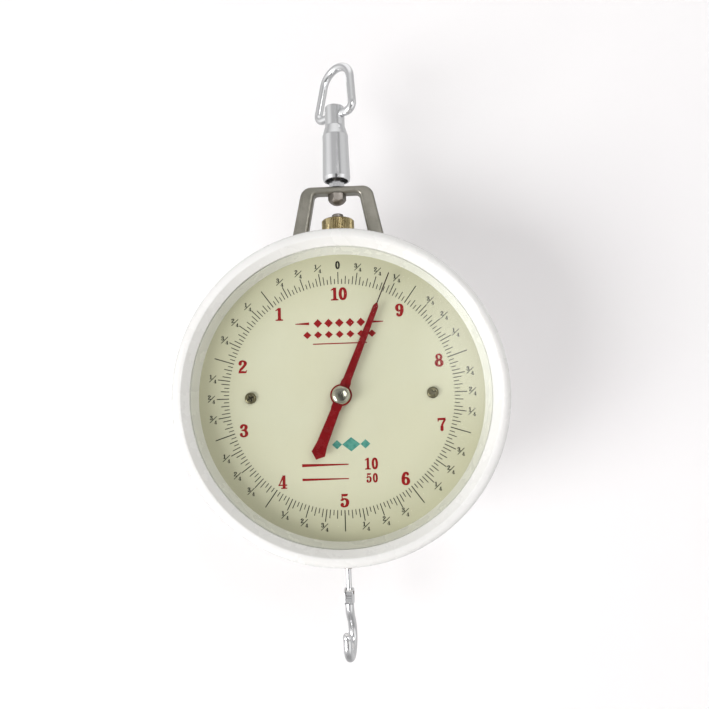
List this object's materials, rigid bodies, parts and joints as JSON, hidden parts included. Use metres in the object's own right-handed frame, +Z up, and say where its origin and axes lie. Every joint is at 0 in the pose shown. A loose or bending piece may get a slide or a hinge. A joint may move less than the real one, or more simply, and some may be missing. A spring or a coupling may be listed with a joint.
{
  "type": "hanging spring scale",
  "caption": "Round-dial hanging spring scale with a swivelling top ring, a yoke with zero nut, a red pointer driven by rack and pinion, and a load hook.",
  "frame": {"origin": "where the pointer's axis meets the case's flat back; the face of the dial is 52 mm in front of it, at y = -0.052", "axes": "+X to the right of someone reading the dial, +Y from the dial back into the case, +Z up the load line"},
  "size_m": [0.2, 0.0698, 0.3886],
  "materials": {
    "white_enamel": "smooth glossy white enamel, slightly warm",
    "lens_glass": "clear flat glass",
    "gasket_rubber": "thin pale rubber ring",
    "dial_face": "satin pale greenish cream print on sheet",
    "dial_ink_black": "black printed ink",
    "dial_ink_red": "dark red printed ink",
    "dial_ink_teal": "teal printed ink",
    "chrome_small": "polished plated small parts",
    "chrome": "polished chrome plate",
    "steel": "zinc-plated steel",
    "dull_steel": "dull darkened steel",
    "cast_grey": "satin warm grey cast metal",
    "brass": "turned brass, knurled on the nut",
    "spring_steel": "oiled spring wire",
    "pointer_red": "deep red lacquer on pressed sheet"
  },
  "bodies": {
    "case": {"bezel": "white_enamel", "lens": "lens_glass", "lens_gasket": "gasket_rubber", "spacer_ring": "white_enamel", "dial_plate": "dial_face", "dial_screws": "dull_steel", "dial_standoffs": "steel", "back_case": "white_enamel", "front_plate": "steel", "rear_plate": "steel", "frame_posts": "steel", "frame_screws": "steel", "case_screws": "steel", "yoke": "cast_grey", "yoke_bolts": "steel", "yoke_nuts": "steel", "yoke_spacers": "steel", "swivel_bolt": "dull_steel", "lock_nut": "chrome", "swivel_nut": "steel", "front_bush": "brass", "rear_bush": "brass", "bottom_bush": "brass", "rack_guide": "brass", "guide_screws": "steel", "spring_left": "spring_steel", "spring_right": "spring_steel"},
    "hanger": {"hanger_barrel": "chrome"},
    "ring": {"hanger_ring": "chrome"},
    "adjuster_nut": {"zero_nut": "brass"},
    "adjuster_screw": {"zero_screw": "dull_steel", "spring_bar": "steel", "bar_nut": "steel"},
    "load_carriage": {"crosshead": "steel", "load_rod": "chrome", "rod_nuts": "steel", "rack": "brass", "rack_screws": "steel", "stop_collar": "dull_steel"},
    "pointer_shaft": {"spindle": "steel", "spindle_collars": "brass", "pinion": "brass", "pointer": "pointer_red", "pointer_hub": "brass", "pointer_cap": "chrome_small"},
    "hook": {"load_hook": "chrome", "hook_pin": "dull_steel"}
  },
  "joints": [
    {"name": "barrel_swivel", "type": "hinge", "parent": "case", "child": "hanger", "pos_m": [0, -0.027, 0.165], "axis": [0, 0, 1], "continuous": true},
    {"name": "ring_swing", "type": "hinge", "parent": "hanger", "child": "ring", "pos_m": [0, -0.027, 0.187], "axis": [0.766, -0.6428, 0], "range_deg": [-88, 102]},
    {"name": "zero_nut_turn", "type": "hinge", "parent": "case", "child": "adjuster_nut", "pos_m": [0, -0.027, 0.111], "axis": [0, 0, 1], "range_deg": [-360, 360]},
    {"name": "zero_screw_lift", "type": "slide", "parent": "case", "child": "adjuster_screw", "axis": [0, 0, 1], "range_m": [-0.00125, 0.00125]},
    {"name": "load_slide", "type": "slide", "parent": "case", "child": "load_carriage", "axis": [0, 0, -1], "range_m": [0, 0.0321], "stiffness_N_per_m": 3250, "springref_m": -0.004, "deforming": ["spring_left", "spring_right"]},
    {"name": "pointer_spin", "type": "hinge", "parent": "case", "child": "pointer_shaft", "pos_m": [0, -0.027, 0], "axis": [0, -1, 0], "range_deg": [0, 384]},
    {"name": "hook_swing", "type": "hinge", "parent": "load_carriage", "child": "hook", "pos_m": [0, -0.027, -0.1225], "axis": [0.9925, -0.1219, 0], "range_deg": [-75, 75]}
  ],
  "couplings": [
    {"joint": "pointer_spin", "follows": "load_slide", "rad_per_m": 208.33},
    {"joint": "zero_nut_turn", "follows": "zero_screw_lift", "rad_per_m": -5026.5}
  ]
}
